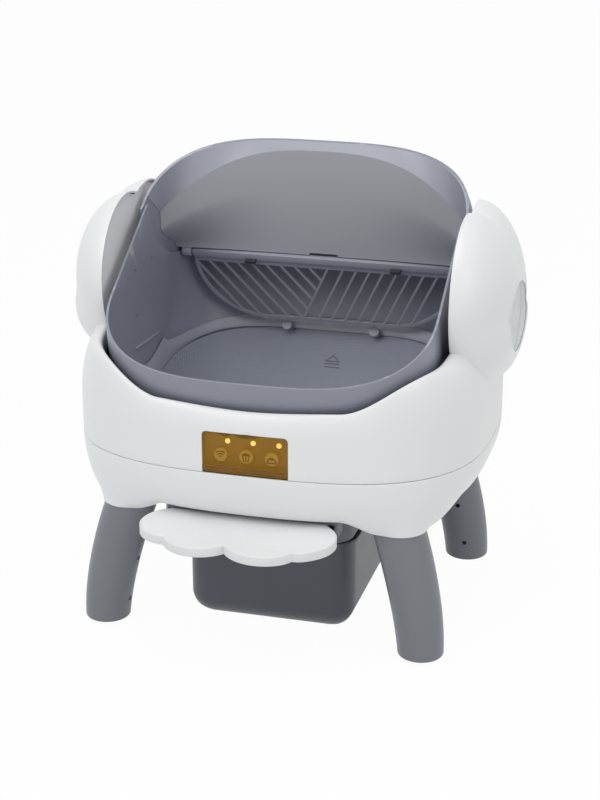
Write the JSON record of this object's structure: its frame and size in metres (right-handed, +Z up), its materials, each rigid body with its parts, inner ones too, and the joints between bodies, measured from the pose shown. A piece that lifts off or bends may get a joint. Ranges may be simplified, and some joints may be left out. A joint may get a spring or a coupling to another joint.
{
  "type": "self-cleaning litter box",
  "caption": "Open-top self-cleaning litter box: a turning bowl with a hood and sieve between domed side pods, on a legged base with a step and a pull-out waste bin.",
  "frame": {"origin": "centre of the footprint of the whole object's bounding box, on the floor", "axes": "+Z up, -Y to the front where the cat steps in, +X to the right seen from the front, along the drum's axis"},
  "size_m": [0.596, 0.549, 0.5899],
  "materials": {
    "white_plastic": "satin moulded",
    "grey_plastic": "satin moulded",
    "leg_plastic": "satin moulded",
    "dark_plastic": "fine matt grain",
    "bin_plastic": "satin moulded",
    "mat_rubber": "fine raised dots",
    "black_rubber": "matt",
    "amber_plastic": "clear tinted, polished",
    "fascia_plastic": "matt",
    "button_plastic": "satin",
    "light_plastic": "clear lens",
    "board": "lacquered",
    "black_plastic": "matt",
    "gear_plastic": "self-coloured",
    "motor_metal": "plated can",
    "bracket_metal": "pressed sheet",
    "screw_steel": "zinc plated"
  },
  "bodies": {
    "base": {"base_upper_shell": "white_plastic", "base_lower_shell": "white_plastic", "drum_cradle": "grey_plastic", "power_inlet": "black_plastic", "leg_front_left": "leg_plastic", "leg_front_right": "leg_plastic", "leg_rear_left": "leg_plastic", "leg_rear_right": "leg_plastic", "foot_pad_front_left": "black_rubber", "foot_pad_front_right": "black_rubber", "foot_pad_rear_left": "black_rubber", "foot_pad_rear_right": "black_rubber", "leg_screws": "screw_steel", "step_sleeve": "grey_plastic", "bearing_left": "gear_plastic", "bearing_right": "gear_plastic", "gear_motor": "motor_metal", "motor_bracket": "bracket_metal", "pod_inner_plate_left": "white_plastic", "pod_inner_plate_right": "white_plastic", "pod_shell_left": "white_plastic", "pod_shell_right": "white_plastic", "hub_cap_left": "white_plastic", "hub_cap_right": "white_plastic", "panel_fascia": "fascia_plastic", "indicator_lights": "light_plastic", "control_board": "board"},
    "drum": {"drum_bowl": "grey_plastic", "drum_hood": "grey_plastic", "hood_liner": "grey_plastic", "litter_mat": "mat_rubber", "sieve_stops": "dark_plastic", "axle_left": "gear_plastic", "axle_right": "gear_plastic", "drum_gear": "gear_plastic", "hub_screws": "screw_steel"},
    "sieve_flap": {"sieve": "dark_plastic", "sieve_clips": "dark_plastic"},
    "pinion": {"drive_pinion": "gear_plastic"},
    "cover": {"panel_cover": "amber_plastic"},
    "button_left": {"button_left": "button_plastic"},
    "button_middle": {"button_middle": "button_plastic"},
    "button_right": {"button_right": "button_plastic"},
    "step": {"step_tread": "white_plastic"},
    "bin": {"waste_bin": "bin_plastic"}
  },
  "joints": [
    {"name": "drum_spin", "type": "hinge", "parent": "base", "child": "drum", "pos_m": [0, 0.0425, 0.41], "axis": [-1, 0, 0], "range_deg": [-20, 210]},
    {"name": "pinion_spin", "type": "hinge", "parent": "base", "child": "pinion", "pos_m": [0.235, 0.09071, 0.46745], "axis": [-1, 0, 0], "range_deg": [-840, 80]},
    {"name": "sieve_swing", "type": "hinge", "parent": "drum", "child": "sieve_flap", "pos_m": [0, 0.1845, 0.423], "axis": [-1, 0, 0], "range_deg": [0, 50]},
    {"name": "cover_hinge", "type": "hinge", "parent": "base", "child": "cover", "pos_m": [0, -0.1869, 0.2528], "axis": [1, 0, 0], "range_deg": [0, 88]},
    {"name": "press_left", "type": "slide", "parent": "base", "child": "button_left", "axis": [0, 1, 0], "range_m": [0, 0.0015], "stiffness_N_per_m": 400, "springref_m": -0.0008},
    {"name": "press_middle", "type": "slide", "parent": "base", "child": "button_middle", "axis": [0, 1, 0], "range_m": [0, 0.0015], "stiffness_N_per_m": 400, "springref_m": -0.0008},
    {"name": "press_right", "type": "slide", "parent": "base", "child": "button_right", "axis": [0, 1, 0], "range_m": [0, 0.0015], "stiffness_N_per_m": 400, "springref_m": -0.0008},
    {"name": "step_slide", "type": "slide", "parent": "base", "child": "step", "axis": [0, -1, 0], "range_m": [0, 0.06]},
    {"name": "bin_slide", "type": "slide", "parent": "base", "child": "bin", "axis": [0, -1, 0], "range_m": [0, 0.3]}
  ],
  "couplings": [
    {"joint": "pinion_spin", "follows": "drum_spin", "ratio": -4}
  ]
}
